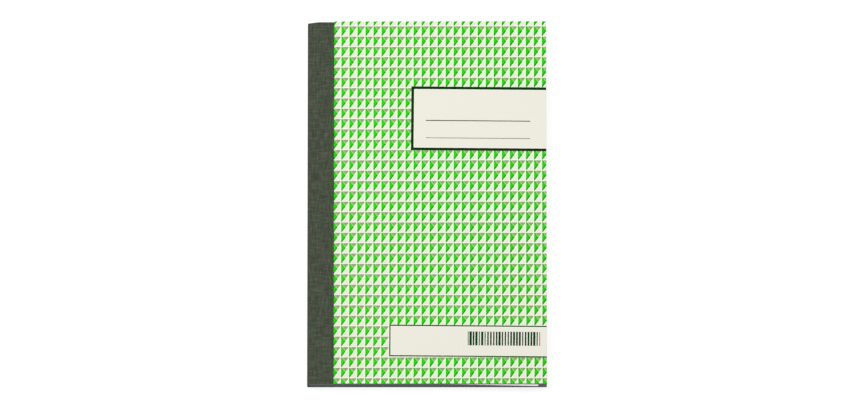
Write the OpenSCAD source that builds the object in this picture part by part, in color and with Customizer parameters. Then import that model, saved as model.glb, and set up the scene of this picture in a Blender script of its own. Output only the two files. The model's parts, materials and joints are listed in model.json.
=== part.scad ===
// Carbonless order book of duplicate sets, wire-stitched at the side and bound with a strip of cloth.
// The book lies closed on its back cover. The spine is at -X, the head at +Y and the front cover on top.
// Lengths are in millimetres. The origin is at the centre of the underside.

/* [Book] */
// Width from the spine to the fore-edge
book_w = 135; // [100:1:210]
// Height from the tail to the head
book_h = 210; // [140:1:300]
// Width of the bound margin, which the cloth covers on both sides of the book
margin_w = 15; // [12:0.5:25]

/* [Sheets] */
// Thickness of one sheet of carbonless paper
sheet_t = 0.08; // [0.06:0.01:0.12]
// Number of duplicate sets in the book
set_count = 50; // [20:1:100]
// Number of sets at the front that are made leaf by leaf
turning_sets = 4; // [1:1:6]

/* [Perforation] */
// Distance from the crease to the perforation of a top copy
perforation_offset = 8; // [4:0.5:15]
// Length of one cut of the perforation
perforation_cut = 3.5; // [1:0.5:8]
// Length of paper left between two cuts
perforation_tie = 1.5; // [0.5:0.5:4]
// Width of a cut
perforation_slit = 0.3; // [0.1:0.05:0.6]

/* [Covers] */
// Thickness of the card of the front cover
cover_t = 0.4; // [0.25:0.05:0.8]
// Thickness of the board of the back cover
back_t = 1; // [1:0.1:2.5]

/* [Writing shield] */
// Thickness of the loose card under the sets in use
shield_t = 0.4; // [0.2:0.05:0.8]
// Least distance from the crease to the card's inner edge
shield_offset = 1.5; // [1:0.5:10]
// Least distance from the card to the fore-edge
shield_inset = 0.5; // [0.2:0.1:5]
// How much shorter the card is than the sheets
shield_short = 5; // [4:0.5:12]
// Angle at which the loose card lies askew
shield_turn = 1.2; // [0:0.1:1.5]
// How far the card's corner shows past the tail
shield_show = 1.2; // [0:0.1:3]

/* [Spine] */
// Thickness of the book cloth
cloth_t = 0.3; // [0.2:0.05:0.35]
// Thickness of the glue between the sheets and the cloth
glue_t = 0.3; // [0.1:0.05:0.5]
// Radius of the spine's two long edges under the cloth
spine_r = 0.9; // [0.5:0.1:1.1]

/* [Wire stitches] */
// Thickness of the flat stitching wire
wire_t = 0.5; // [0.3:0.05:0.55]
// Width of the flat stitching wire
wire_w = 0.6; // [0.4:0.1:1]
// Length of a stitch along the spine
stitch_l = 13; // [9:1:18]
// Gap between the clinched ends of a stitch
clinch_gap = 2; // [1:0.5:4]
// Distance from the spine to the stitches
stitch_offset = 7; // [4:0.5:9]
// Distance from the head or the tail to the middle of a stitch
stitch_inset = 45; // [20:1:60]
// Clearance round the wire in the paper and the boards
wire_gap = 0.05; // [0.02:0.01:0.1]

/* [Hidden] */
$fn = 48;
// How far a cut runs past the face that it opens
cut_over = 1;

spine_x = -book_w / 2;
fore_x = book_w / 2;
tail_y = -book_h / 2;
crease_x = spine_x + margin_w;
perforation_x = crease_x + perforation_offset;

// A round edge is no larger than the corner of the sheets beneath it allows
spine_edge_r = min(spine_r, glue_t + cover_t + sqrt(2 * glue_t * cover_t));
cloth_inner_x = spine_x + cloth_t;
sheet_x = cloth_inner_x + glue_t;
board_x = cloth_inner_x + max(glue_t, spine_edge_r);

set_t = 2 * sheet_t;
bound_sets = set_count - turning_sets;
leaves_t = turning_sets * set_t;

// Levels of the bound margin
stub_z = back_t + bound_sets * set_t;
margin_card_z = stub_z + leaves_t;
margin_cloth_z = margin_card_z + cover_t;
cloth_top_z = margin_cloth_z + cloth_t;

// Levels of the part that opens
leaf_z = stub_z + shield_t;
cover_z = leaf_z + leaves_t;

// The shield lies with its corner at the tail and the fore-edge in view, turned about that corner
shield_h = book_h - shield_short;
shield_corner_x = fore_x - shield_inset - shield_h * sin(shield_turn);
shield_w = (shield_corner_x - crease_x - shield_offset) / cos(shield_turn);

stitch_x = spine_x + stitch_offset;
stitch_y = book_h / 2 - stitch_inset;

set_numbers = [1 : turning_sets];

cloth_colour = "#48504a";
card_colour = "#a9d99a";
board_colour = "#c9c4b4";
white_paper = "#f7f6f1";
tinted_paper = "#c9ddea";
shield_colour = "#eeeeea";
glue_colour = "#e8e0c8";
wire_colour = "#b9bcc0";

function set_node(number, piece) = str("set_", number, "_", piece);

// Height of a set's duplicate above the lowest leaf that is made by itself, where the first set is on top
function duplicate_level(number) = (turning_sets - number) * set_t;
function top_level(number) = duplicate_level(number) + sheet_t;

// Flat plate of the book's full height between two places along X
module plate(from_x, to_x, from_z, thickness) {
    translate([from_x, tail_y, from_z])
        cube([to_x - from_x, book_h, thickness]);
}

// Outline across the spine, drawn in X and Z and run from tail to head
module along_spine() {
    translate([0, book_h / 2, 0])
        rotate([90, 0, 0])
            linear_extrude(book_h)
                children();
}

// Rectangle whose two corners at -X are round
module rounded_left(from_x, to_x, from_z, to_z, radius) {
    translate([from_x + radius, from_z])
        square([to_x - from_x - radius, to_z - from_z]);
    translate([from_x, from_z + radius])
        square([to_x - from_x, to_z - from_z - 2 * radius]);
    for (z = [from_z + radius, to_z - radius])
        translate([from_x + radius, z])
            circle(radius);
}

// Outline of a clinched stitch in Y and Z, grown by a clearance for the room that it needs
function stitch_points(grow) =
    let (
        outer_y = stitch_l / 2 + grow,
        inner_y = stitch_l / 2 - wire_t - grow,
        end_y = clinch_gap / 2 - grow,
        low_z = cloth_t - grow,
        clinch_z = cloth_t + wire_t + grow,
        crown_z = margin_cloth_z - wire_t - grow,
        high_z = margin_cloth_z + grow
    )
    [
        [-end_y, low_z], [-outer_y, low_z], [-outer_y, high_z], [outer_y, high_z],
        [outer_y, low_z], [end_y, low_z], [end_y, clinch_z], [inner_y, clinch_z],
        [inner_y, crown_z], [-inner_y, crown_z], [-inner_y, clinch_z], [-end_y, clinch_z]
    ];

// One stitch at a place along the spine
module stitch(y, grow) {
    width = wire_w + 2 * grow;
    translate([stitch_x - width / 2, y, 0])
        rotate([90, 0, 90])
            linear_extrude(width)
                polygon(stitch_points(grow));
}

// Room for both stitches
module stitch_room() {
    for (y = [-stitch_y, stitch_y])
        stitch(y, wire_gap);
}

// One bound sheet with the cuts that the legs of the stitches make
module bound_sheet(z) {
    leg_w = wire_w + 2 * wire_gap;
    leg_l = wire_t + 2 * wire_gap;
    leg_y = (stitch_l - wire_t) / 2;
    translate([0, 0, z])
        linear_extrude(sheet_t)
            difference() {
                translate([sheet_x, tail_y])
                    square([fore_x - sheet_x, book_h]);
                for (y = [-stitch_y, stitch_y], side = [-1, 1])
                    translate([stitch_x, y + side * leg_y])
                        square([leg_w, leg_l], center = true);
            }
}

// Bound end of a leaf, between the spine and the crease
module stub(level) {
    difference() {
        plate(sheet_x, crease_x, stub_z + level, sheet_t);
        stitch_room();
    }
}

module back_cover() {
    color(board_colour)
        difference() {
            plate(board_x, fore_x, 0, back_t);
            translate([board_x - cut_over, tail_y - cut_over, -cut_over])
                cube([crease_x - board_x + cut_over, book_h + 2 * cut_over, cloth_t + cut_over]);
            stitch_room();
        }
}

module spine_cloth() {
    color(cloth_colour)
        along_spine()
            difference() {
                rounded_left(spine_x, crease_x, 0, cloth_top_z, spine_edge_r + cloth_t);
                rounded_left(cloth_inner_x, crease_x + cut_over, cloth_t, margin_cloth_z, spine_edge_r);
            }
}

module spine_glue() {
    color(glue_colour)
        along_spine()
            difference() {
                rounded_left(cloth_inner_x, board_x + cut_over, cloth_t, margin_cloth_z, spine_edge_r);
                translate([board_x, 0])
                    square([2 * cut_over, cloth_top_z]);
                translate([sheet_x, back_t])
                    square([board_x - sheet_x + cut_over, margin_card_z - back_t]);
            }
}

module staple_head() {
    color(wire_colour)
        stitch(stitch_y, 0);
}

module staple_tail() {
    color(wire_colour)
        stitch(-stitch_y, 0);
}

module bound_duplicates() {
    color(tinted_paper)
        for (number = [0 : bound_sets - 1])
            bound_sheet(back_t + number * set_t);
}

module bound_top_copies() {
    color(white_paper)
        for (number = [0 : bound_sets - 1])
            bound_sheet(back_t + number * set_t + sheet_t);
}

module front_cover_margin() {
    color(card_colour)
        difference() {
            plate(board_x, crease_x, margin_card_z, cover_t);
            stitch_room();
        }
}

module front_cover() {
    color(card_colour)
        plate(crease_x, fore_x, cover_z, cover_t);
}

module writing_shield() {
    color(shield_colour)
        translate([shield_corner_x, tail_y - shield_show, stub_z])
            rotate([0, 0, -shield_turn])
                translate([-shield_w, 0, 0])
                    cube([shield_w, shield_h, shield_t]);
}

module top_stub(number) {
    color(white_paper)
        stub(top_level(number));
}

module duplicate_stub(number) {
    color(tinted_paper)
        stub(duplicate_level(number));
}

// Strip that stays in the book when the form is torn out. Its outer edge is notched by the perforation.
module top_strip(number) {
    pitch = perforation_cut + perforation_tie;
    cuts = floor((book_h - perforation_tie) / pitch);
    first_y = -(cuts * pitch - perforation_tie) / 2;
    notches = [
        for (cut = [0 : cuts - 1], corner = [[0, 0], [1, 0], [1, 1], [0, 1]])
            [
                perforation_x - corner[0] * perforation_slit,
                first_y + cut * pitch + corner[1] * perforation_cut
            ]
    ];
    outline = concat(
        [[crease_x, -tail_y], [crease_x, tail_y], [perforation_x, tail_y]],
        notches,
        [[perforation_x, -tail_y]]
    );
    color(white_paper)
        translate([0, 0, leaf_z + top_level(number)])
            linear_extrude(sheet_t)
                polygon(outline);
}

module top_form(number) {
    color(white_paper)
        plate(perforation_x, fore_x, leaf_z + top_level(number), sheet_t);
}

module duplicate(number) {
    color(tinted_paper)
        plate(crease_x, fore_x, leaf_z + duplicate_level(number), sheet_t);
}

back_cover();
spine_cloth();
spine_glue();
staple_head();
staple_tail();
bound_top_copies();
bound_duplicates();
front_cover_margin();
front_cover();
writing_shield();
for (number = set_numbers) {
    top_stub(number);
    top_strip(number);
    top_form(number);
    duplicate_stub(number);
    duplicate(number);
}
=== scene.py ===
"""Looks of a carbonless order book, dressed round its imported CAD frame.

The book lies closed on its back cover: the spine is at -X, the head at +Y and the front cover on
top. Lengths are in metres, and MM turns a size in millimetres into metres. Fields whose names end
in _mm hold millimetres, in which the patterns on the sheets and the lens are worked out.
"""

import json
import logging
import math
import random
from collections.abc import Callable, Iterable, Mapping, Sequence
from dataclasses import dataclass
from enum import Enum
from typing import Any

import bmesh
import bpy
from mathutils import Matrix, Vector

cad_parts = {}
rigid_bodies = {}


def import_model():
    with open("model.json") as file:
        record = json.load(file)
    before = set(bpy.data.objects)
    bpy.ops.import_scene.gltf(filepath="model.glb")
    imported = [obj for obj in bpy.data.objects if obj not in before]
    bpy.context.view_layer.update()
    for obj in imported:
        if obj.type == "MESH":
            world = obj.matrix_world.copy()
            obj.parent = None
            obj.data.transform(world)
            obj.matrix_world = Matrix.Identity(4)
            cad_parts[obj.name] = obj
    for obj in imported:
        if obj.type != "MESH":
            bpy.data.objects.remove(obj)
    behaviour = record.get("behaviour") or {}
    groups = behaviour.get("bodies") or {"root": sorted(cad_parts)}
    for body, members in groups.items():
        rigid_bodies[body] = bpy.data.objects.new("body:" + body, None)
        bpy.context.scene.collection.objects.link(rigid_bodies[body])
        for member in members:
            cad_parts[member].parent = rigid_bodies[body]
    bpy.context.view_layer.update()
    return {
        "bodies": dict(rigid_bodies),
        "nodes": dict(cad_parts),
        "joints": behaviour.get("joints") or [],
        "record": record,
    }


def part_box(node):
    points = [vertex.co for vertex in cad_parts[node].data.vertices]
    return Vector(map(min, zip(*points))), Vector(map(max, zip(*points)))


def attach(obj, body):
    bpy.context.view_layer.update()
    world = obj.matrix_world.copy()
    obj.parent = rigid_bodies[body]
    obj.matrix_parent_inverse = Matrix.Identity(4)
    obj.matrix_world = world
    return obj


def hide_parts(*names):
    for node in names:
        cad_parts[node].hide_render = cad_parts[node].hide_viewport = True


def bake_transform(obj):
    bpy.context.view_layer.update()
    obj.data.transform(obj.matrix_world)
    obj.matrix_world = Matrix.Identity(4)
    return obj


Tree = bpy.types.NodeTree
Node = bpy.types.Node
Mesh = bmesh.types.BMesh
Span = tuple[float, float]

LOG = logging.getLogger("order_book")
MM = 0.001
# The body that everything bound into the book belongs to
BLOCK = "book_block"
# Each piece has this map, which keeps a pattern in place on a sheet while it bends
SHEET_MAP = "sheet_map"
# Points nearer than this are one point, far under the thickness of a sheet
SNAP = 1e-7
# A face looks along an axis if its normal reaches at least this far along it
FACING = 0.5
WHITE = (1.0, 1.0, 1.0, 1.0)


class Axis(Enum):
    """The frame's axes that meshes are cut across."""

    X = (1.0, 0.0, 0.0)
    Y = (0.0, 1.0, 0.0)


class Side(Enum):
    """Where a face of a flat piece looks, and the number of its material."""

    UPPER = 0
    UNDER = 1
    CUT = 2


class PaperTint(Enum):
    """Colours of the two sheets of a set, as sRGB hex values."""

    WHITE = "F4F4F0"
    PALE_BLUE = "C9DDEA"


def linear(hex_code: str) -> tuple[float, float, float, float]:
    """Turns an sRGB hex value into a linear colour.

    Args:
        hex_code: Six hexadecimal digits, red first.

    Returns:
        Linear red, green and blue, with an alpha of one.
    """
    shares = [int(hex_code[i : i + 2], 16) / 255 for i in (0, 2, 4)]
    red, green, blue = (
        s / 12.92 if s <= 0.04045 else ((s + 0.055) / 1.055) ** 2.4 for s in shares
    )
    return (red, green, blue, 1.0)


def add_node(
    tree: Tree, kind: str, inputs: Mapping[str, Any] | Sequence[Any] = (), **settings: Any
) -> Node:
    """Adds one node with its settings, constants and links.

    Args:
        tree: The node tree that takes the node.
        kind: Blender's name for the kind of node, after the ShaderNode that all of them start with.
        inputs: Constants, sockets or nodes, by the input's name or in the order of the inputs. A
            node stands for its first output in use.
        settings: Attributes of the node and their values.

    Returns:
        The new node.
    """
    node = tree.nodes.new("ShaderNode" + kind)
    for name, value in settings.items():
        setattr(node, name, value)
    by_key = inputs if isinstance(inputs, Mapping) else dict(enumerate(inputs))
    for key, value in by_key.items():
        by_name = (s for s in node.inputs if s.enabled and s.name == key)
        socket = node.inputs[key] if isinstance(key, int) else next(by_name)
        if isinstance(value, Node):
            value = next(s for s in value.outputs if s.enabled)
        if isinstance(value, bpy.types.NodeSocket):
            tree.links.new(value, socket)
        else:
            socket.default_value = value
    return node


def bare_tree(owner: bpy.types.Material | bpy.types.World) -> Tree:
    """Empties a node tree.

    Args:
        owner: The material or world that the tree belongs to.

    Returns:
        The empty tree.
    """
    owner.use_nodes = True
    owner.node_tree.nodes.clear()
    return owner.node_tree


def overprint(tree: Tree, ground: Any, layers: Iterable[tuple[Any, Any]]) -> Any:
    """Lays inks or tones one over another.

    Args:
        tree: The material's node tree.
        ground: Colour, socket or node of the bare surface.
        layers: Pairs of a share from 0 to 1 and the colour laid on in that share.

    Returns:
        The node that carries the last colour.
    """
    colour = ground
    for share, ink in layers:
        laid = {"Factor": share, "A": colour, "B": ink}
        colour = add_node(tree, "Mix", laid, data_type="RGBA")
    return colour


def sheet_place(tree: Tree, turn_deg: float = 0.0) -> list[bpy.types.NodeSocket]:
    """Adds the place on an unbent sheet.

    Args:
        tree: The material's node tree.
        turn_deg: How far the axes are turned, anticlockwise.

    Returns:
        Sockets with the place across and along the sheet, in millimetres.
    """
    scaled = {
        "Vector": add_node(tree, "UVMap", uv_map=SHEET_MAP),
        "Rotation": (0.0, 0.0, math.radians(turn_deg)),
        "Scale": (MM, MM, MM),
    }
    place = add_node(tree, "Mapping", scaled, vector_type="TEXTURE")
    return add_node(tree, "SeparateXYZ", (place,)).outputs[:2]


@dataclass(frozen=True)
class Patch:
    """A rectangle of print on a sheet, in millimetres from the middle of the book."""

    low_x: float
    high_x: float
    low_y: float
    high_y: float

    def inset(self, by: float) -> "Patch":
        """Returns the patch drawn in by the same amount on every side."""
        return Patch(self.low_x + by, self.high_x - by, self.low_y + by, self.high_y - by)

    def mask(self, tree: Tree, place: Sequence[Any]) -> Node:
        """Adds the nodes that are 1 inside the patch and 0 outside.

        Args:
            tree: The material's node tree.
            place: Sockets with the place across and along the sheet, in millimetres.

        Returns:
            The node that carries the mask.
        """
        spans = ((self.low_x, self.high_x), (self.low_y, self.high_y))
        inside = [
            add_node(tree, "Math", (along, (low + high) / 2, (high - low) / 2), operation="COMPARE")
            for along, (low, high) in zip(place, spans)
        ]
        return add_node(tree, "Math", inside, operation="MULTIPLY")


@dataclass(frozen=True)
class Mottle:
    """An uneven pattern, and the share of a second tone that it gives."""

    size_mm: float
    detail: float
    # Levels of the pattern at which the share is least and most, and these shares
    levels: Span = (0.0, 1.0)
    share: Span = (0.0, 1.0)
    roughness: float = 0.5
    distortion: float = 0.0

    def add(self, tree: Tree, place: Any) -> tuple[Node, Node]:
        """Adds the pattern.

        Args:
            tree: The material's node tree.
            place: Socket or node with the place on the surface, in metres.

        Returns:
            The nodes that carry the pattern's level and the share.
        """
        noise = {
            "Vector": place,
            "Scale": 1 / (self.size_mm * MM),
            "Detail": self.detail,
            "Roughness": self.roughness,
            "Distortion": self.distortion,
        }
        level = add_node(tree, "TexNoise", noise)
        return level, add_node(tree, "MapRange", (level, *self.levels, *self.share))


@dataclass(frozen=True)
class Skin:
    """How a surface that isn't metal takes the light: its gloss and its fine relief."""

    roughness: float
    # Strength of the plain reflection, which is one half on a clean smooth surface
    specular: float
    relief: float = 0.0
    relief_mm: float = 0.0
    ior: float = 1.5

    def inputs(self, tree: Tree, colour: Any, height: Node | None = None) -> dict[str, Any]:
        """Adds the relief and gathers what the shader takes.

        Args:
            tree: The material's node tree.
            colour: Node with the colour of the surface.
            height: Node with the height of the relief, where there is one.

        Returns:
            Constants and nodes for the shader's inputs.
        """
        found = {
            "Base Color": colour,
            "Roughness": self.roughness,
            "IOR": self.ior,
            "Specular IOR Level": self.specular,
        }
        if height is not None:
            bump = {"Strength": self.relief, "Distance": self.relief_mm * MM, "Height": height}
            found["Normal"] = add_node(tree, "Bump", bump)
        return found


class Finish:
    """Base of every finish: a named material with one Principled shader."""

    name: str

    def surface(self, tree: Tree) -> dict[str, Any]:
        """Adds the finish's patterns.

        Args:
            tree: The material's node tree.

        Returns:
            Constants and nodes for the shader's inputs.
        """
        raise NotImplementedError

    def material(self) -> bpy.types.Material:
        """Makes the finish's material at the first call.

        Returns:
            The material.
        """
        made = bpy.data.materials.get(self.name)
        if made is None:
            made = bpy.data.materials.new(self.name)
            tree = bare_tree(made)
            shader = add_node(tree, "BsdfPrincipled", self.surface(tree))
            add_node(tree, "OutputMaterial", {"Surface": shader})
        return made


@dataclass(frozen=True)
class PulpBoard(Finish):
    """Uncoated card or board pressed from pulp: matt, a little cloudy, with fibres and flecks."""

    name: str
    colour: str
    fleck: str
    fleck_share: float = 0.5
    fibre_mm: float = 0.9
    fibre_detail: float = 6.0
    fibre_twist: float = 1.5
    # Levels of the fibre pattern between which a fleck comes up
    fleck_levels: Span = (0.56, 0.74)
    clouds: Mottle = Mottle(7.0, 4.0, (0.3, 0.7), (0.0, 0.2), roughness=0.6)
    skin: Skin = Skin(0.85, 0.2, relief=0.35, relief_mm=0.04)

    def surface(self, tree: Tree) -> dict[str, Any]:
        """Adds clouds of tone, fibres and the tooth of the board, with the gloss of bare fibre.

        Args:
            tree: The material's node tree.

        Returns:
            Constants and nodes for the shader's inputs.
        """
        place = add_node(tree, "UVMap", uv_map=SHEET_MAP)
        pulp = Mottle(
            self.fibre_mm,
            self.fibre_detail,
            self.fleck_levels,
            (0.0, self.fleck_share),
            distortion=self.fibre_twist,
        )
        fibres, flecked = pulp.add(tree, place)
        _, cloudy = self.clouds.add(tree, place)
        layers = [(share, linear(self.fleck)) for share in (cloudy, flecked)]
        return self.skin.inputs(tree, overprint(tree, linear(self.colour), layers), fibres)


@dataclass(frozen=True)
class CoverPrint(Finish):
    """Cream cover card, offset printed with an all-over check of studs under two framed panels.

    Ink on uncoated card has a low, slightly uneven gloss.
    """

    name: str = "printed_cover_card"
    card: str = "F0EFE2"
    lit_facet: str = "F2F1E6"
    parting: str = "FCFEEA"
    # Inks near the spine and near the fore-edge: at a green facet's edges, and inside it
    green_inks: tuple[tuple[str, str], ...] = (("18AE00", "149C00"), ("22E602", "1EDA01"))
    # The same for the olive of a facet, and for its paler rim beside the green
    olive_inks: tuple[tuple[str, str], ...] = (("98A87E", "8FB06C"), ("B0D292", "A2DE78"))
    dark_ink: str = "0A3412"
    bar_ink: str = "0A3D17"
    frame_ink: str = "1F5E24"
    panel: str = "F2EFE3"
    cell_w_mm: float = 4.54
    cell_h_mm: float = 6.0
    # Width of the pale line between two studs
    parting_mm: float = 0.45
    # From where to where, as shares of a cell: the pale line along the lower edges of the inked
    # facets, the green as it brightens above its lower edge and away from its ends, and the olive
    # as it pales towards the green
    lit_line: Span = (-0.05, 0.2)
    low_edge_fade: Span = (0.0, 0.24)
    end_fade: Span = (0.46, 0.18)
    olive_fade: Span = (0.3, 0.12)
    # How far the inks spill out of their facets, as shares of a cell
    olive_spill: float = 0.02
    green_spill: float = 0.075
    # A corner of the check
    check_x_mm: float = -48.5
    check_y_mm: float = 102.05
    # Where the inks start to turn from those near the spine and where they have turned
    greener_mm: Span = (-40.0, 60.0)
    # The panels are printed a little out of square with the check, and run off the fore-edge
    panel_turn_deg: float = -0.5
    title: Patch = Patch(-9.4, 90.0, 29.9, 67.0)
    title_frame_mm: float = 1.55
    label: Patch = Patch(-20.6, 90.0, -89.5, -71.2)
    label_frame_mm: float = 0.75
    panel_gap_mm: float = 0.35
    rules_mm: tuple[Patch, ...] = (Patch(-1.0, 58.0, 47.0, 47.5), Patch(-1.0, 58.0, 37.0, 37.3))
    bars: Patch = Patch(23.7, 64.4, -82.8, -74.8)
    bar_pitch_mm: float = 1.63
    # Least and greatest half width of a bar, as a share of the pitch
    bar_halves: Span = (0.17, 0.43)
    # The card's grain, as the share of the colour that it lets through
    grain: Mottle = Mottle(0.5, 5.0, (0.3, 0.7), (0.94, 1.03))
    skin: Skin = Skin(0.58, 0.02, relief=0.15, relief_mm=0.02)
    # How far the grain swings the roughness either way
    gloss_swing: float = 0.06

    def surface(self, tree: Tree) -> dict[str, Any]:
        """Adds the check, the panels over it and the card's grain that shows through the ink.

        Args:
            tree: The material's node tree.

        Returns:
            Constants and nodes for the shader's inputs.
        """
        sheet = add_node(tree, "UVMap", uv_map=SHEET_MAP)
        printed = self.panels(tree, self.check(tree, sheet))
        grain, cover = self.grain.add(tree, sheet)
        inked = add_node(tree, "VectorMath", {"Vector": printed, "Scale": cover}, operation="SCALE")
        rough, swing = self.skin.roughness, self.gloss_swing
        gloss = (grain, *self.grain.levels, rough - swing, rough + swing)
        uneven = add_node(tree, "MapRange", gloss)
        return {**self.skin.inputs(tree, inked, grain), "Roughness": uneven}

    def check(self, tree: Tree, sheet: Node) -> Node:
        """Args:
            tree: The material's node tree.
            sheet: Node with the place on the unbent cover, in metres.

        Returns:
            The node that carries the check's colour.
        """
        grid = {
            "Vector": sheet,
            "Location": (self.check_x_mm * MM, self.check_y_mm * MM, 0.0),
            "Scale": (self.cell_w_mm * MM, self.cell_h_mm * MM, 1.0),
        }
        cells = add_node(tree, "Mapping", grid, vector_type="TEXTURE")
        within = add_node(tree, "VectorMath", (cells,), operation="FRACTION")
        # The facets meet half way up the stud that shows above the pale line
        line_w, line_h = self.parting_mm / self.cell_w_mm, self.parting_mm / self.cell_h_mm
        middle = (0.5, 0.5 + line_h / 2, 0.0)
        centred = add_node(tree, "VectorMath", (within, middle), operation="SUBTRACT")
        sides = add_node(tree, "VectorMath", (centred,), operation="ABSOLUTE")
        (x, y), (far_x, far_y) = (
            add_node(tree, "SeparateXYZ", (place,)).outputs[:2] for place in (centred, sides)
        )
        green_edge, olive_edge, over_low_edge = (
            add_node(tree, "Math", pair, operation="SUBTRACT")
            for pair in ((self.green_spill, x), (far_x, self.olive_spill), (y, x))
        )
        from_green = add_node(tree, "Math", (y, x), operation="ADD")
        left, right, upper, next_right, next_below = (
            add_node(tree, "Math", pair, operation="GREATER_THAN")
            for pair in (
                (green_edge, far_y),
                (x, far_y),
                (y, olive_edge),
                (x, 0.5 - line_w),
                (line_h - middle[1], y),
            )
        )
        inside, from_ends, pale, greener = (
            add_node(tree, "MapRange", (value, *fade))
            for value, fade in (
                (over_low_edge, self.low_edge_fade),
                (far_y, self.end_fade),
                (from_green, self.olive_fade),
                (sheet_place(tree)[0], self.greener_mm),
            )
        )
        bright = add_node(tree, "Math", (inside, from_ends), operation="MULTIPLY")
        start, end = self.lit_line
        line = (over_low_edge, -(start + end) / 2, (end - start) / 2)
        lit_line = add_node(tree, "Math", line, operation="COMPARE")
        edge_green, green, olive, rim_olive = (
            overprint(tree, linear(near), [(greener, linear(far))])
            for near, far in (*self.green_inks, *self.olive_inks)
        )
        pale_ink = linear(self.parting)
        layers = [
            (right, linear(self.lit_facet)),
            (lit_line, pale_ink),
            (upper, overprint(tree, olive, [(pale, rim_olive)])),
            (left, overprint(tree, edge_green, [(bright, green)])),
            (next_right, pale_ink),
            (next_below, pale_ink),
        ]
        return overprint(tree, linear(self.card), layers)

    def panels(self, tree: Tree, check: Node) -> Node:
        """Adds the two framed panels and the plain marks on them.

        Args:
            tree: The material's node tree.
            check: Node with the colour under the panels.

        Returns:
            The node that carries the printed colour.
        """
        place = sheet_place(tree, self.panel_turn_deg)
        inks = []
        for panel, frame, ink in (
            (self.title, self.title_frame_mm, self.dark_ink),
            (self.label, self.label_frame_mm, self.frame_ink),
        ):
            inks += [
                (panel, ink),
                (panel.inset(frame), self.parting),
                (panel.inset(frame + self.panel_gap_mm), self.panel),
            ]
        inks += [(rule, self.dark_ink) for rule in self.rules_mm]
        layers = [(patch.mask(tree, place), linear(ink)) for patch, ink in inks]
        layers.append((self.bar_mask(tree, place), linear(self.bar_ink)))
        return overprint(tree, check, layers)

    def bar_mask(self, tree: Tree, place: Sequence[Any]) -> Node:
        """Adds plain bars of made-up widths, which spell nothing.

        Args:
            tree: The material's node tree.
            place: Sockets with the place on the panels, in millimetres.

        Returns:
            The node that is 1 on the bars.
        """
        pitches = add_node(tree, "Math", (place[0], self.bar_pitch_mm), operation="DIVIDE")
        number, within = (
            add_node(tree, "Math", (pitches,), operation=part) for part in ("FLOOR", "FRACT")
        )
        draw = add_node(tree, "TexWhiteNoise", {"W": number}, noise_dimensions="1D")
        half = add_node(tree, "MapRange", (draw, 0.0, 1.0, *self.bar_halves))
        inked = add_node(tree, "Math", (within, 0.5, half), operation="COMPARE")
        return add_node(tree, "Math", (inked, self.bars.mask(tree, place)), operation="MULTIPLY")


@dataclass(frozen=True)
class BookCloth(Finish):
    """Starched cotton book cloth in a plain weave: matt, its uneven threads a soft cross-hatch.

    The real threads are about 0.4 mm apart, which is under a pixel in the main view, so they are
    drawn 0.6 mm apart, and their unevenness runs for several millimetres along each thread.
    """

    name: str = "woven_book_cloth"
    colour: str = "3E4738"
    light_thread: str = "606956"
    warm_dye: str = "524A35"
    cool_dye: str = "38484A"
    # Painted shade, laid into the gaps between the threads
    painted_gap_shade: str = "252B22"
    thread_mm: float = 0.6
    # Width and length of a thick place in a thread, and how high it stands beside the weave
    slub_mm: Span = (0.9, 6.0)
    slub_height: float = 0.6
    slub_detail: float = 2.0
    # How far and how finely the threads waver
    waver: float = 0.6
    waver_detail: float = 2.0
    waver_scale: float = 0.7
    # The warm dye, and the levels of its pattern where it is cool
    dye: Mottle = Mottle(0.9, 3.0, (0.5, 0.7), (0.0, 0.75))
    cool_levels: Span = (0.5, 0.3)
    # Levels at which a thread starts to lighten and at which it is light, and the same for the
    # painted shade in the gaps between the threads
    light_levels: Span = (0.82, 1.3)
    gap_shade_levels: Span = (0.7, 0.1)
    gap_shade_shares: Span = (0.0, 0.6)
    skin: Skin = Skin(0.9, 0.12, relief=0.7, relief_mm=0.1)
    sheen: float = 0.06
    sheen_roughness: float = 0.5

    def surface(self, tree: Tree) -> dict[str, Any]:
        """Adds the threads of both directions, their slubs and dye, painted shade in the gaps
        between them, and the weave's relief.

        Args:
            tree: The material's node tree.

        Returns:
            Constants and nodes for the shader's inputs.
        """
        sheet = add_node(tree, "UVMap", uv_map=SHEET_MAP)
        pitch = (self.thread_mm, self.thread_mm)
        # One thread both ways, then across and along a thick place, and the other way round
        threads, warp, weft = (
            add_node(
                tree,
                "Mapping",
                {"Vector": sheet, "Scale": (across * MM, along * MM, 1.0)},
                vector_type="TEXTURE",
            )
            for across, along in (pitch, self.slub_mm, self.slub_mm[::-1])
        )
        wave = {
            "Vector": threads,
            # A wave repeats every tenth of two pi at a scale of one, and a band is half of that
            "Scale": math.pi / 10,
            "Distortion": self.waver,
            "Detail": self.waver_detail,
            "Detail Scale": self.waver_scale,
        }
        ridges = [
            add_node(tree, "TexWave", wave, wave_type="BANDS", bands_direction=way).outputs["Fac"]
            for way in ("X", "Y")
        ]
        weave = add_node(tree, "Math", ridges, operation="MAXIMUM")
        slubs = [
            add_node(
                tree, "TexNoise", {"Vector": along, "Scale": 1.0, "Detail": self.slub_detail}
            )
            for along in (warp, weft)
        ]
        uneven = add_node(tree, "Math", slubs, operation="ADD")
        dye, warm = self.dye.add(tree, sheet)
        # The third share paints shade into the gaps between the threads, where the weave is low
        light, cool, shaded_gaps = (
            add_node(tree, "MapRange", spans)
            for spans in (
                (uneven, *self.light_levels),
                (dye, *self.cool_levels, *self.dye.share),
                (weave, *self.gap_shade_levels, *self.gap_shade_shares),
            )
        )
        tones = (
            (light, self.light_thread),
            (warm, self.warm_dye),
            (cool, self.cool_dye),
            (shaded_gaps, self.painted_gap_shade),
        )
        layers = [(share, linear(tone)) for share, tone in tones]
        height = add_node(
            tree, "Math", (uneven, self.slub_height, weave), operation="MULTIPLY_ADD"
        )
        return {
            **self.skin.inputs(tree, overprint(tree, linear(self.colour), layers), height),
            "Sheen Weight": self.sheen,
            "Sheen Roughness": self.sheen_roughness,
        }


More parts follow.
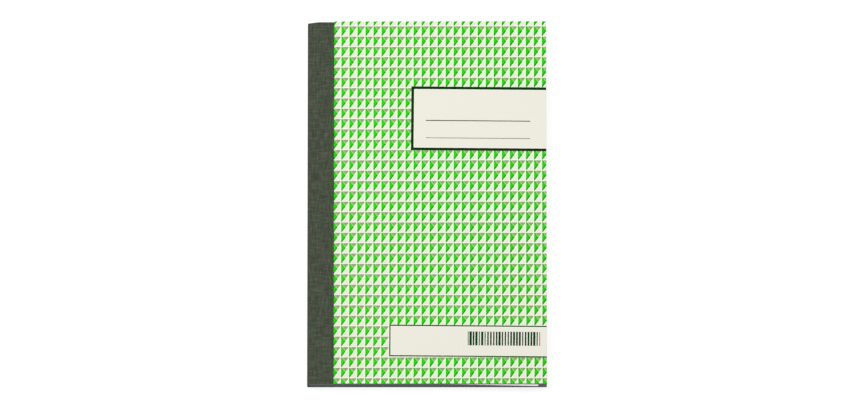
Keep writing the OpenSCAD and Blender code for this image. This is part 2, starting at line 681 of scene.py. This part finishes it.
@dataclass(frozen=True)
class CarbonlessPaper(Finish):
    """Thin carbonless paper: matt, faintly cloudy where fibres gather, bare or an order form."""

    name: str
    tint: PaperTint
    shade: str
    printed: bool = False
    ink: str = "4F8A5C"
    head_ink: str = "C4DFC0"
    line_mm: float = 0.3
    row_mm: float = 8.0
    table: Patch = Patch(-38.0, 61.0, -78.0, 50.0)
    columns_mm: tuple[float, ...] = (-24.0, 23.0, 41.0)
    boxes: tuple[Patch, ...] = (
        Patch(-38.0, 8.0, 60.0, 96.0),
        Patch(14.0, 61.0, 80.0, 96.0),
        Patch(14.0, 61.0, 60.0, 76.0),
        Patch(23.0, 61.0, -96.0, -84.0),
    )
    clouds: Mottle = Mottle(5.0, 6.0, (0.35, 0.75), (0.0, 0.18))
    skin: Skin = Skin(0.8, 0.15, relief=0.15, relief_mm=0.02)

    def surface(self, tree: Tree) -> dict[str, Any]:
        """Adds the paper's clouds and its form, with the dull surface of uncoated paper.

        Args:
            tree: The material's node tree.

        Returns:
            Constants and nodes for the shader's inputs.
        """
        clouds, cloudy = self.clouds.add(tree, add_node(tree, "UVMap", uv_map=SHEET_MAP))
        paper = overprint(tree, linear(self.tint.value), [(cloudy, linear(self.shade))])
        return self.skin.inputs(tree, self.form(tree, paper) if self.printed else paper, clouds)

    def form(self, tree: Tree, paper: Node) -> Node:
        """Adds an order form without words: boxes to fill in and a ruled table with a tinted head.

        Args:
            tree: The material's node tree.
            paper: Node with the colour of the bare paper.

        Returns:
            The node that carries the printed colour.
        """
        place = sheet_place(tree)
        table = self.table
        head = Patch(table.low_x, table.high_x, table.high_y - self.row_mm, table.high_y)
        lines = [
            Patch(column, column + self.line_mm, table.low_y, table.high_y)
            for column in self.columns_mm
        ]
        drop = add_node(tree, "Math", (table.high_y, place[1]), operation="SUBTRACT")
        rows = add_node(tree, "Math", (drop, self.row_mm), operation="DIVIDE")
        within = add_node(tree, "Math", (rows,), operation="FRACT")
        ruled = add_node(tree, "Math", (within, self.line_mm / self.row_mm), operation="LESS_THAN")
        in_table = (ruled, table.mask(tree, place))
        ink = linear(self.ink)
        layers = []
        for box in (*self.boxes, table):
            inner = box.inset(self.line_mm)
            layers += [(box.mask(tree, place), ink), (inner.mask(tree, place), paper)]
        layers.append((head.mask(tree, place), linear(self.head_ink)))
        layers.append((add_node(tree, "Math", in_table, operation="MULTIPLY"), ink))
        layers += [(line.mask(tree, place), ink) for line in lines]
        return overprint(tree, paper, layers)


@dataclass(frozen=True)
class TrimmedEdges(Finish):
    """The edges of a stack of sheets, cut in one stroke: matt, with streaks of painted shade
    between the sheets along them.
    """

    name: str
    tint: PaperTint
    # Painted shade between the sheets, laid on in streaks along them
    painted_sheet_shade: str = "8E8C84"
    streaks: Mottle = Mottle(25.0, 4.0, (0.4, 0.75), (0.0, 0.45))
    layer_mm: float = 0.35
    skin: Skin = Skin(0.9, 0.1)

    def surface(self, tree: Tree) -> dict[str, Any]:
        """Adds the streaks of painted shade between the sheets, which are long beside a sheet's
        thickness.

        Args:
            tree: The material's node tree.

        Returns:
            Constants and nodes for the shader's inputs.
        """
        flat = {
            "Vector": add_node(tree, "TexCoord").outputs["Object"],
            "Scale": (1.0, 1.0, self.layer_mm / self.streaks.size_mm),
        }
        place = add_node(tree, "Mapping", flat, vector_type="TEXTURE")
        _, sheet_shade_share = self.streaks.add(tree, place)
        # The streaks paint shade between the sheets
        layers = [(sheet_shade_share, linear(self.painted_sheet_shade))]
        return self.skin.inputs(tree, overprint(tree, linear(self.tint.value), layers))


@dataclass(frozen=True)
class StitchingWire(Finish):
    """Galvanised stitching wire, rolled flat: a soft grey shine, patchy where zinc has dulled."""

    name: str = "galvanised_wire"
    colour: str = "BFC2C4"
    dull: str = "93979A"
    # Its share is used as the roughness
    zinc: Mottle = Mottle(0.3, 4.0, share=(0.3, 0.5))

    def surface(self, tree: Tree) -> dict[str, Any]:
        """Adds the dull patches of a bare zinc surface.

        Args:
            tree: The material's node tree.

        Returns:
            Constants and nodes for the shader's inputs.
        """
        place = add_node(tree, "TexCoord").outputs["Object"]
        patches, rough = self.zinc.add(tree, place)
        colour = overprint(tree, linear(self.colour), [(patches, linear(self.dull))])
        return {"Base Color": colour, "Roughness": rough, "Metallic": 1.0}


@dataclass(frozen=True)
class BinderyGlue(Finish):
    """Dried vinyl bindery glue: cream, half glossy and uneven where the brush left it."""

    name: str = "vinyl_bindery_glue"
    colour: str = "E6DEC6"
    thin: str = "CFC4A6"
    brush: Mottle = Mottle(2.0, 3.0)
    skin: Skin = Skin(0.4, 0.5, relief=0.4, relief_mm=0.05, ior=1.47)

    def surface(self, tree: Tree) -> dict[str, Any]:
        """Adds thick and thin places.

        Args:
            tree: The material's node tree.

        Returns:
            Constants and nodes for the shader's inputs.
        """
        place = add_node(tree, "TexCoord").outputs["Object"]
        height, thin = self.brush.add(tree, place)
        colour = overprint(tree, linear(self.colour), [(thin, linear(self.thin))])
        return self.skin.inputs(tree, colour, height)


COVER_PRINT = CoverPrint()
COVER_INSIDE = PulpBoard("cover_card_inside", "E9E7DB", "C4C0B0", fleck_share=0.25)
COVER_EDGE = PulpBoard("cut_card_edge", "D6D3C6", "A5A192", fibre_mm=0.4)
GREY_BOARD = PulpBoard("grey_pulp_board", "A5A39A", "6F6C62")
SHIELD_FACE = PulpBoard("white_lined_card", "F1F1ED", "D2D1CA", fleck_share=0.2)
SHIELD_BACK = PulpBoard("grey_card_back", "BDB9AE", "8A867B")
BOOK_CLOTH = BookCloth()
WHITE_PAPER = CarbonlessPaper("white_carbonless_paper", PaperTint.WHITE, "D5D4CA")
WHITE_FORM = CarbonlessPaper("white_order_form", PaperTint.WHITE, "D5D4CA", printed=True)
BLUE_PAPER = CarbonlessPaper("blue_carbonless_paper", PaperTint.PALE_BLUE, "A9C3D4")
BLUE_FORM = CarbonlessPaper("blue_order_form", PaperTint.PALE_BLUE, "A9C3D4", printed=True)
WHITE_EDGES = TrimmedEdges("white_sheet_edges", PaperTint.WHITE)
BLUE_EDGES = TrimmedEdges("blue_sheet_edges", PaperTint.PALE_BLUE)
WIRE = StitchingWire()
GLUE = BinderyGlue()


def steps(start: float, end: float, count: int) -> list[float]:
    """Returns the places that split a span into equal steps, without its ends."""
    return [start + (end - start) * i / count for i in range(1, count)]


def smooth_share(share: float) -> float:
    """Returns a share held between 0 and 1 and eased at both ends."""
    held = min(max(share, 0.0), 1.0)
    return held * held * (3 - 2 * held)


def slice_across(bm: Mesh, axis: Axis, places: Iterable[float]) -> None:
    """Cuts every face of a mesh at places along an axis, so that it can bend there.

    Args:
        bm: The mesh to cut.
        axis: The axis that the cutting planes are square to.
        places: Where the planes stand along it.
    """
    normal = Vector(axis.value)
    for place in places:
        bmesh.ops.bisect_plane(
            bm,
            geom=[*bm.verts, *bm.edges, *bm.faces],
            dist=SNAP,
            plane_co=normal * place,
            plane_no=normal,
        )


def round_edges(
    bm: Mesh, edges: Iterable[bmesh.types.BMEdge], radius: float, segments: int = 2
) -> None:
    """Rounds edges of a mesh.

    Args:
        bm: The mesh.
        edges: The edges to round.
        radius: How far the round reaches along each face.
        segments: Number of faces across the round.
    """
    bmesh.ops.bevel(
        bm,
        geom=list(edges),
        offset=radius,
        affect="EDGES",
        segments=segments,
        profile=0.5,
        material=-1,
    )


def sharp_edges(bm: Mesh) -> list[bmesh.types.BMEdge]:
    """Returns the edges where a mesh turns by more than half a right angle."""
    return [e for e in bm.edges if e.calc_face_angle(0.0) > math.pi / 4]


def merged_copy(node: bpy.types.Object) -> Mesh:
    """Copies a CAD node's mesh and merges its loose triangles.

    Args:
        node: The CAD node's object.

    Returns:
        The merged mesh.
    """
    bm = bmesh.new()
    bm.from_mesh(node.data)
    bmesh.ops.remove_doubles(bm, verts=list(bm.verts), dist=SNAP)
    return bm


def side_of(face: bmesh.types.BMFace) -> Side:
    """Finds where a face of a flat piece looks.

    Args:
        face: A face whose normal is up to date.

    Returns:
        The side that it belongs to.
    """
    if abs(face.normal.z) < FACING:
        return Side.CUT
    return Side.UPPER if face.normal.z > 0 else Side.UNDER


def map_flat(point: Vector) -> Span:
    """Returns a point's place on a sheet that lies flat."""
    return (point.x, point.y)


def add_object(name: str, data: bpy.types.ID) -> bpy.types.Object:
    """Adds an object to the scene.

    Args:
        name: Name of the object.
        data: Its mesh, light or camera.

    Returns:
        The new object.
    """
    made = bpy.data.objects.new(name, data)
    bpy.context.scene.collection.objects.link(made)
    return made


def add_mesh(name: str, bm: Mesh) -> bpy.types.Object:
    """Adds an object with a mesh to the scene.

    Args:
        name: Name of the object and its mesh.
        bm: The mesh, which is used up.

    Returns:
        The new object.
    """
    mesh = bpy.data.meshes.new(name)
    bm.to_mesh(mesh)
    bm.free()
    return add_object(name, mesh)


def finish_piece(
    bm: Mesh,
    name: str,
    nodes: Sequence[str],
    finishes: Sequence[Finish],
    mapping: Callable[[Vector], Span] = map_flat,
) -> bpy.types.Object:
    """Turns a mesh into a piece of the scene that stands for CAD nodes.

    Args:
        bm: The finished mesh, which is used up.
        name: Name of the piece.
        nodes: The CAD nodes that it replaces.
        finishes: One finish for the whole piece, or one for each side of a flat piece.
        mapping: Gives the place of a point on the unbent sheet, in metres.

    Returns:
        The new object.
    """
    bm.normal_update()
    layer = bm.loops.layers.uv.new(SHEET_MAP)
    for face in bm.faces:
        face.material_index = side_of(face).value if len(finishes) > 1 else 0
        for loop in face.loops:
            loop[layer].uv = mapping(loop.vert.co)
    piece = add_mesh(name, bm)
    for finish in finishes:
        piece.data.materials.append(finish.material())
    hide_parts(*nodes)
    LOG.info("%s: %d faces", name, len(piece.data.polygons))
    return piece


@dataclass(frozen=True)
class Slab:
    """A flat cut piece of paper, card or board, as a box between two corners."""

    low: Vector
    high: Vector

    @classmethod
    def of_node(cls, node: str) -> "Slab":
        """Returns the box that a CAD node fills."""
        return cls(*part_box(node))

    def drawn_out(self, end_x: float) -> "Slab":
        """Returns the slab drawn out to a place along X."""
        return Slab(self.low, Vector((end_x, self.high.y, self.high.z)))

    def add_to(self, bm: Mesh) -> None:
        """Adds the slab to a mesh.

        Args:
            bm: The mesh that takes the slab.
        """
        size = Matrix.Diagonal((*(self.high - self.low), 1.0))
        place = Matrix.Translation((self.low + self.high) / 2)
        bmesh.ops.create_cube(bm, size=1.0, matrix=place @ size)

    def mesh(self) -> Mesh:
        """Makes a mesh of the slab alone.

        Returns:
            The new mesh.
        """
        bm = bmesh.new()
        self.add_to(bm)
        return bm


@dataclass(frozen=True)
class BookFrame:
    """Edges and levels that several pieces share, read from the CAD frame, and how sheets lie."""

    crease_x: float
    perforation_x: float
    fore_x: float
    tail_y: float
    head_y: float
    # How far the shield lifts what lies free above what is bound
    rise: float
    spine_x: float
    cloth_z: float
    # Length over which the leaves climb from the bound margin onto the loose shield
    climb: float = 1.4 * MM
    # Length beyond the crease in which a leaf bends
    leaf_bend: float = 8.0 * MM
    # Number of steps in the climb and in the rest of the bend
    climb_steps: int = 5
    bend_steps: int = 12
    # The sheets run a little out of square and end short of the covers
    skew: float = math.tan(math.radians(0.15))
    head_trim: float = 1.3 * MM
    tail_trim: float = 0.3 * MM
    # The bound margin ends short at the head, most of all at the spine and on the front
    margin_short: float = 0.5 * MM
    spine_short: float = 0.7 * MM
    corner_reach: float = 7.0 * MM
    # Length of a piece's end over which it is drawn in
    end_reach: float = 3.0 * MM

    @classmethod
    def from_cad(cls) -> "BookFrame":
        """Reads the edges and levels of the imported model.

        Returns:
            The frame that the pieces share.
        """
        cover = Slab.of_node("front_cover")
        cloth = Slab.of_node("spine_cloth")
        return cls(
            crease_x=cover.low.x,
            perforation_x=Slab.of_node("set_1_top_form").low.x,
            fore_x=cover.high.x,
            tail_y=cover.low.y,
            head_y=cover.high.y,
            rise=cover.low.z - Slab.of_node("front_cover_margin").low.z,
            spine_x=cloth.low.x,
            cloth_z=cloth.high.z,
        )

    def climbed(self, x: float) -> float:
        """Returns how far the shield lifts a leaf at a place along X."""
        return self.rise * smooth_share((x - self.crease_x) / self.climb)

    def settle(self, bm: Mesh) -> None:
        """Lays sheets as they are bound: shorter than the covers and a little out of square.

        Args:
            bm: A mesh of sheets that are square and as long as the covers.
        """
        shorter = 1 - (self.head_trim + self.tail_trim) / (self.head_y - self.tail_y)
        for vert in bm.verts:
            along = (vert.co.y - self.tail_y) * shorter
            vert.co.y = self.tail_y + self.tail_trim + along - self.skew * vert.co.x

    def draw_in(self, point: Vector) -> None:
        """Draws a point of the bound margin in at the head.

        Args:
            point: A point of the cloth or of the card under it, which is moved.
        """
        near_head = smooth_share(1 - (self.head_y - point.y) / self.end_reach)
        near_spine = smooth_share(1 - (point.x - self.spine_x) / self.corner_reach)
        short = self.margin_short + self.spine_short * near_spine
        point.y -= near_head * short * point.z / self.cloth_z

    def bend_cuts(self) -> list[float]:
        """Works out where a leaf or the cover needs edges to bend.

        Returns:
            The places along X.
        """
        climb_end = self.crease_x + self.climb
        bend_end = self.crease_x + self.leaf_bend
        return [
            self.crease_x,
            *steps(self.crease_x, climb_end, self.climb_steps),
            climb_end,
            *steps(climb_end, bend_end, self.bend_steps),
            bend_end,
        ]

    def hinge(self, piece: bpy.types.Object, body: str, length: float) -> None:
        """Bakes a piece's place into its mesh; it is neither bent nor given to a turning body.

        Args:
            piece: The cover or a leaf, which starts in the block.
            body: Not used; the body that its free part would ride on.
            length: Not used; how far beyond the crease it would bend.
        """
        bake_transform(piece)


@dataclass
class FrontCover:
    """The printed card: bound under the cloth, creased at the cloth's edge and free from there."""

    book: BookFrame
    # The crease bends over a shorter length than the leaves, so that they stay inside the cover
    crease_bend: float = 4.0 * MM
    edge_round: float = 0.08 * MM
    # How far the card stands off the leaves at its free corners and in its ripples
    curl: float = 0.25 * MM
    ripple: float = 0.08 * MM
    ripples: float = 5.0
    # How far inside the cloth's edge the card's head edge steps back
    step_back: float = 0.3 * MM
    # Number of steps across the margin, across the free part and along the card
    margin_steps: int = 6
    free_steps: int = 14
    length_steps: int = 24

    def build(self) -> bpy.types.Object:
        """Builds the card as one piece from the spine to the fore-edge.

        Returns:
            The new object.
        """
        book = self.book
        bound = Slab.of_node("front_cover_margin")
        margin_end = book.crease_x - self.step_back
        bm = bound.drawn_out(book.fore_x).mesh()
        round_edges(bm, sharp_edges(bm), self.edge_round)
        slice_across(bm, Axis.X, [*steps(bound.low.x, margin_end, self.margin_steps), margin_end])
        slice_across(bm, Axis.X, book.bend_cuts())
        free_x = book.crease_x + book.leaf_bend
        slice_across(bm, Axis.X, steps(free_x, book.fore_x, self.free_steps))
        slice_across(bm, Axis.Y, steps(book.tail_y, book.head_y, self.length_steps))
        for vert in bm.verts:
            if vert.co.x < margin_end + SNAP:
                book.draw_in(vert.co)
            vert.co.z += book.climbed(vert.co.x) + self.spring(vert.co)
        nodes = ("front_cover", "front_cover_margin")
        finishes = (COVER_PRINT, COVER_INSIDE, COVER_EDGE)
        return finish_piece(bm, "front_cover_card", nodes, finishes)

    def spring(self, point: Vector) -> float:
        """Works out how far the card stands off the leaves.

        Args:
            point: A point of the card as it lies flat.

        Returns:
            The height at that point.
        """
        free = self.book.fore_x - self.book.crease_x
        out = smooth_share((point.x - self.book.crease_x) / free)
        along = point.y / self.book.head_y
        rippled = self.ripple * (1 + math.sin(self.ripples * along))
        return out * (self.curl * along * along + rippled)

    def dress(self) -> None:
        """Builds the card and bakes its place into its mesh."""
        self.book.hinge(self.build(), "front_cover", self.crease_bend)


@dataclass
class BackCover:
    """The stiffer board under the sheets, pressed in where the cloth covers it."""

    edge_round: float = 0.1 * MM

    def dress(self) -> None:
        """Builds the board and puts it in the book."""
        cloth = Slab.of_node("spine_cloth")
        glue = Slab.of_node("spine_glue")
        bm = Slab.of_node("back_cover").mesh()
        slice_across(bm, Axis.X, [cloth.high.x])
        under = [f for f in bm.faces if side_of(f) is Side.UNDER]
        covered = [f for f in under if f.calc_center_median().x < cloth.high.x]
        pressed = bmesh.ops.extrude_face_region(bm, geom=covered)["geom"]
        bmesh.ops.delete(bm, geom=covered, context="FACES_ONLY")
        lifted = [g for g in pressed if isinstance(g, bmesh.types.BMVert)]
        bmesh.ops.translate(bm, verts=lifted, vec=(0.0, 0.0, glue.low.z - cloth.low.z))
        round_edges(bm, sharp_edges(bm), self.edge_round)
        bmesh.ops.dissolve_degenerate(bm, dist=SNAP, edges=list(bm.edges))
        board = finish_piece(bm, "back_cover_board", ["back_cover"], [GREY_BOARD])
        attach(board, BLOCK)


@dataclass
class SpineCloth:
    """The strip of cloth glued round the spine, from the front margin to the back margin."""

    book: BookFrame
    # Radius of the strip's outside at the spine's two long edges, and the faces round it
    fold_round: float = 1.2 * MM
    fold_segments: int = 8
    # How far the cut edges wander, and how long one wave of that is
    wander: float = 0.07 * MM
    wave: float = 31.0 * MM
    # A smaller wave on it: its height beside the first, and how many of it go into one
    ripple: float = 0.6
    ripples: float = 2.7
    edge_reach: float = 3.0 * MM
    # Number of steps along the strip and across each margin
    length_steps: int = 84
    margin_steps: int = 8

    def build(self) -> bpy.types.Object:
        """Builds the strip, folded round the spine.

        Returns:
            The new object.
        """
        outer = Slab.of_node("spine_cloth")
        thickness = Slab.of_node("spine_glue").low.x - outer.low.x
        bm = outer.mesh()
        open_sides = [
            f for f in bm.faces if abs(f.normal.y) > FACING or f.normal.x > FACING
        ]
        bmesh.ops.delete(bm, geom=open_sides, context="FACES")
        folds = [e for e in bm.edges if len(e.link_faces) == 2]
        round_edges(bm, folds, self.fold_round, self.fold_segments)
        slice_across(bm, Axis.Y, steps(outer.low.y, outer.high.y, self.length_steps))
        margin_x = outer.low.x + self.fold_round
        slice_across(bm, Axis.X, steps(margin_x, outer.high.x, self.margin_steps))
        for vert in bm.verts:
            self.trim(vert.co, outer)
        bmesh.ops.solidify(bm, geom=list(bm.faces), thickness=thickness)
        unroll = self.unrolled(outer)
        nodes = ["spine_cloth"]
        return finish_piece(bm, "spine_cloth_strip", nodes, [BOOK_CLOTH], unroll)

    def trim(self, place: Vector, outer: Slab) -> None:
        """Moves a point near a cut edge as cloth that was cut and glued by hand lies.

        Args:
            place: A point of the folded strip.
            outer: The box round the strip.
        """
        turns = 2 * math.pi * place.y / self.wave
        near_edge = smooth_share(1 - (outer.high.x - place.x) / self.edge_reach)
        waves = math.sin(turns) + self.ripple * math.sin(self.ripples * turns)
        place.x += near_edge * self.wander * (waves - (1 + self.ripple))
        self.book.draw_in(place)

    def unrolled(self, outer: Slab) -> Callable[[Vector], Span]:
        """Returns the map that unrolls the strip.

        Args:
            outer: The box round the folded strip.

        Returns:
            A function that gives a point's place across and along the flat strip.
        """
        middle = (outer.low.z + outer.high.z) / 2

        def unroll(point: Vector) -> Span:
            """Returns a point's place on the flat strip, from the middle of the spine."""
            height = point.z - middle
            return (math.copysign(abs(height) + point.x - outer.low.x, height), point.y)

        return unroll

    def dress(self) -> None:
        """Builds the strip and glues it to the block."""
        strip = self.build()
        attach(strip, BLOCK)


@dataclass
class SheetBlock:
    """The sets that wait under the shield: white top copies and tinted duplicates by turns."""

    book: BookFrame
    # How far a sheet may stand out from the others
    stray: float = 0.05 * MM
    seed: int = 50

    def stack(self, node: str, draw: random.Random) -> Mesh:
        """Makes the block's sheets of one colour.

        Args:
            node: CAD node that holds these sheets.
            draw: Source of the small differences between the sheets.

        Returns:
            The sheets' mesh.
        """
        box = Slab.of_node(node)
        lowest, next_up = (Slab.of_node(n).low.z for n in ("bound_duplicates", "bound_top_copies"))
        thickness = next_up - lowest
        spacing = 2 * thickness
        bm = bmesh.new()
        for i in range(round((box.high.z - box.low.z + thickness) / spacing)):
            level = box.low.z + spacing * i
            slip = draw.uniform(-self.stray, self.stray)
            reach = draw.uniform(-self.stray, self.stray)
            low = Vector((box.low.x, box.low.y + slip, level))
            high = Vector((box.high.x + reach, box.high.y + slip, level + thickness))
            Slab(low, high).add_to(bm)
        self.book.settle(bm)
        return bm

    def dress(self) -> None:
        """Builds the sheets of both colours and binds them into the block."""
        draw = random.Random(self.seed)
        white = (WHITE_FORM, WHITE_PAPER, WHITE_EDGES)
        blue = (BLUE_FORM, BLUE_PAPER, BLUE_EDGES)
        for node, name, slot, finishes in (
            ("bound_top_copies", "bound_top_copy_sheets", "white_paper", white),
            ("bound_duplicates", "bound_duplicate_sheets", "blue_paper", blue),
        ):
            sheets = finish_piece(self.stack(node, draw), name, [node], finishes)
            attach(sheets, BLOCK)


@dataclass
class DuplicateSet:
    """One set that turns: a perforated top copy over its duplicate."""

    book: BookFrame
    number: int
    # The perforation's cuts, the paper left between two of them, and the width of a cut
    cut: float = 3.5 * MM
    tie: float = 1.5 * MM
    slit: float = 0.3 * MM

    def leaf(self, stub: str, end_x: float) -> Mesh:
        """Makes a leaf from its bound end to a place along X.

        Args:
            stub: CAD node of the bound end.
            end_x: Where the leaf ends.

        Returns:
            The leaf's mesh, still flat and square.
        """
        bm = Slab.of_node(stub).drawn_out(end_x).mesh()
        slice_across(bm, Axis.X, [x for x in self.book.bend_cuts() if x < end_x])
        return bm

    def perforate(self, bm: Mesh) -> None:
        """Grows the ties of the perforation out of a strip's outer edge.

        Args:
            bm: The strip, whose outer edge lies at the inner side of the cuts.
        """
        length = self.book.head_y - self.book.tail_y
        pitch = self.cut + self.tie
        count = math.floor((length - self.tie) / pitch)
        first = -(count * pitch - self.tie) / 2
        starts = [first + pitch * i for i in range(count)]
        slice_across(bm, Axis.Y, [y for start in starts for y in (start, start + self.cut)])
        bm.normal_update()
        for face in [f for f in bm.faces if f.normal.x > FACING]:
            middle = face.calc_center_median().y
            if not any(start < middle < start + self.cut for start in starts):
                grown = bmesh.ops.extrude_discrete_faces(bm, faces=[face])["faces"][0]
                bmesh.ops.translate(bm, verts=grown.verts, vec=(self.slit, 0.0, 0.0))

    def lay(self, bm: Mesh) -> None:
        """Lifts a leaf onto the shield and lays it as the sheets are bound.

        Args:
            bm: A leaf that is flat and square.
        """
        for vert in bm.verts:
            vert.co.z += self.book.climbed(vert.co.x)
        self.book.settle(bm)

    def dress_top_copy(self) -> None:
        """Builds the strip that stays in the book and the form that tears off it."""
        top = f"set_{self.number}_top"
        nodes = (f"{top}_stub", f"{top}_strip")
        bm = self.leaf(nodes[0], self.book.perforation_x - self.slit)
        self.perforate(bm)
        self.lay(bm)
        kept = finish_piece(bm, f"{top}_copy_strip", nodes, [WHITE_PAPER])
        self.book.hinge(kept, f"top_strip_{self.number}", self.book.leaf_bend)
        form = f"{top}_form"
        bm = Slab.of_node(form).mesh()
        self.book.settle(bm)
        finishes = (WHITE_FORM, WHITE_PAPER, WHITE_PAPER)
        torn = finish_piece(bm, f"{top}_copy_form", [form], finishes)
        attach(torn, f"top_form_{self.number}")

    def dress_duplicate(self) -> None:
        """Builds the tinted copy, which stays in the book."""
        leaf = f"set_{self.number}_duplicate"
        nodes = (f"{leaf}_stub", leaf)
        bm = self.leaf(nodes[0], self.book.fore_x)
        self.lay(bm)
        finishes = (BLUE_FORM, BLUE_PAPER, BLUE_PAPER)
        sheet = finish_piece(bm, f"{leaf}_sheet", nodes, finishes)
        self.book.hinge(sheet, f"duplicate_{self.number}", self.book.leaf_bend)

    def dress(self) -> None:
        """Builds both sheets of the set."""
        self.dress_top_copy()
        self.dress_duplicate()


@dataclass
class WritingShield:
    """The loose card that keeps writing from copying through to the next set, a little askew."""

    node: bpy.types.Object
    corner: float = 0.5 * MM
    corner_segments: int = 6
    edge_round: float = 0.08 * MM
    # Faces that turn by less than this are one face
    flat_deg: float = 1.0

    def dress(self) -> None:
        """Rounds a copy of the CAD card and lets it slide with its body."""
        bm = merged_copy(self.node)
        bmesh.ops.dissolve_limit(
            bm,
            angle_limit=math.radians(self.flat_deg),
            verts=list(bm.verts),
            edges=list(bm.edges),
        )
        corners = [e for e in bm.edges if abs(e.verts[0].co.z - e.verts[1].co.z) > SNAP]
        round_edges(bm, corners, self.corner, self.corner_segments)
        round_edges(bm, sharp_edges(bm), self.edge_round)
        nodes = ["writing_shield"]
        finishes = (SHIELD_FACE, SHIELD_BACK, SHIELD_FACE)
        card = finish_piece(bm, "writing_shield_card", nodes, finishes)
        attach(card, "writing_shield")


@dataclass
class Binding:
    """The glue along the spine, and the stitches, whose CAD shapes stay."""

    nodes: Mapping[str, bpy.types.Object]
    # How far the glue stops short of the book's ends
    end_gap: float = 2.5 * MM

    def lay_glue(self) -> None:
        """Builds the line of glue between the sheets and the cloth from a copy of its CAD shape."""
        bm = merged_copy(self.nodes["spine_glue"])
        for vert in bm.verts:
            vert.co.y -= math.copysign(self.end_gap, vert.co.y)
        line = finish_piece(bm, "spine_glue_line", ["spine_glue"], [GLUE])
        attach(line, BLOCK)

    def dress(self) -> None:
        """Lays the glue and gives the stitches their finish."""
        self.lay_glue()
        for node in ("staple_head", "staple_tail"):
            materials = self.nodes[node].data.materials
            materials.clear()
            materials.append(WIRE.material())
            LOG.info("%s: CAD shape in %s", node, WIRE.name)


@dataclass(frozen=True)
class Lamp:
    """A soft square lamp that faces the book."""

    name: str
    place: tuple[float, float, float]
    watts: float
    size: float = 0.6

    def hang(self) -> None:
        """Hangs the lamp in its place."""
        data = bpy.data.lights.new(self.name, "AREA")
        data.shape = "SQUARE"
        data.size = self.size
        data.energy = self.watts
        lamp = add_object(self.name, data)
        lamp.location = self.place
        lamp.rotation_euler = (-lamp.location).to_track_quat("-Z", "Y").to_euler()


@dataclass
class Studio:
    """A pale floor, soft lamps, a white background and the camera."""

    lamps: tuple[Lamp, ...] = (
        Lamp("key_lamp", (-0.5, 0.15, 1.25), 10.5),
        Lamp("fill_lamp", (0.5, 0.15, 1.25), 7.1),
    )
    elevation_deg: float = 77.0
    lens_mm: float = 500.0
    sensor_mm: float = 36.0
    frame_w_px: float = 854.0
    # Width of the covers in the picture, and how far their middle lies above the picture's
    cover_px: float = 239.0
    raised_px: float = 3.2
    floor_size: float = 30.0
    floor_tone: str = "848484"
    floor_glow: float = 0.85
    ambient: float = 0.13

    def seen_share(self, tree: Tree) -> Node:
        """Adds the nodes that are 1 for what the camera sees, also in metal and through glass.

        Args:
            tree: The node tree of the floor or the world.

        Returns:
            The node that carries the share.
        """
        rays = add_node(tree, "LightPath").outputs
        shiny = (rays["Is Glossy Ray"], rays["Is Transmission Ray"])
        seen = (rays["Is Camera Ray"], add_node(tree, "Math", shiny, operation="MAXIMUM"))
        return add_node(tree, "Math", seen, operation="MAXIMUM")

    def lay_floor(self) -> None:
        """Lays the floor, which looks white to the camera and keeps the book's shadow."""
        bm = bmesh.new()
        bmesh.ops.create_grid(bm, x_segments=1, y_segments=1, size=self.floor_size / 2)
        floor = add_mesh("studio_floor", bm)
        paint = bpy.data.materials.new("studio_floor_paint")
        tree = bare_tree(paint)
        matt = add_node(tree, "BsdfDiffuse", {"Color": linear(self.floor_tone)})
        glow = add_node(tree, "Emission", {"Color": WHITE, "Strength": self.floor_glow})
        lit = add_node(tree, "AddShader", (matt, glow))
        shown = add_node(tree, "MixShader", (self.seen_share(tree), matt, lit))
        add_node(tree, "OutputMaterial", {"Surface": shown})
        floor.data.materials.append(paint)

    def light_world(self) -> None:
        """Gives the room a dim even light and a white background."""
        world = bpy.data.worlds.new("studio_world")
        bpy.context.scene.world = world
        tree = bare_tree(world)
        room, white = (
            add_node(tree, "Background", {"Color": WHITE, "Strength": strength})
            for strength in (self.ambient, 1.0)
        )
        shown = add_node(tree, "MixShader", (self.seen_share(tree), room, white))
        add_node(tree, "OutputWorld", {"Surface": shown})

    def set_camera(self) -> None:
        """Aims the camera at the front cover, from above and a little from the tail side."""
        cover = Slab.of_node("front_cover")
        spine_x = Slab.of_node("spine_cloth").low.x
        per_px = (cover.high.x - spine_x) / self.cover_px
        distance = self.lens_mm / self.sensor_mm * self.frame_w_px * per_px
        tilt = math.radians(self.elevation_deg)
        away = Vector((0.0, -math.cos(tilt), math.sin(tilt)))
        upward = Vector((0.0, math.sin(tilt), math.cos(tilt)))
        middle_x = (spine_x + cover.high.x) / 2
        middle = Vector((middle_x, (cover.low.y + cover.high.y) / 2, cover.high.z))
        data = bpy.data.cameras.new("camera")
        data.sensor_width = self.sensor_mm
        data.lens = self.lens_mm
        data.clip_end = 2 * self.floor_size
        camera = add_object("camera", data)
        camera.location = middle + away * distance - upward * (self.raised_px * per_px)
        camera.rotation_euler = (-away).to_track_quat("-Z", "Y").to_euler()
        bpy.context.scene.camera = camera

    def dress(self) -> None:
        """Sets up the floor, the world, the lamps and the camera."""
        bpy.context.scene.view_settings.view_transform = "Standard"
        self.lay_floor()
        self.light_world()
        for lamp in self.lamps:
            lamp.hang()
        self.set_camera()


def main() -> None:
    """Loads the frame and builds the pieces in order."""
    logging.basicConfig(level=logging.INFO, format="%(name)s: %(message)s")
    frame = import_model()
    nodes = frame["nodes"]
    book = BookFrame.from_cad()
    Studio().dress()
    BackCover().dress()
    SheetBlock(book).dress()
    WritingShield(nodes["writing_shield"]).dress()
    turning_sets = sum(node.endswith("_top_form") for node in nodes)
    for number in range(1, turning_sets + 1):
        DuplicateSet(book, number).dress()
    FrontCover(book).dress()
    Binding(nodes).dress()
    SpineCloth(book).dress()


if __name__ == "__main__":
    main()
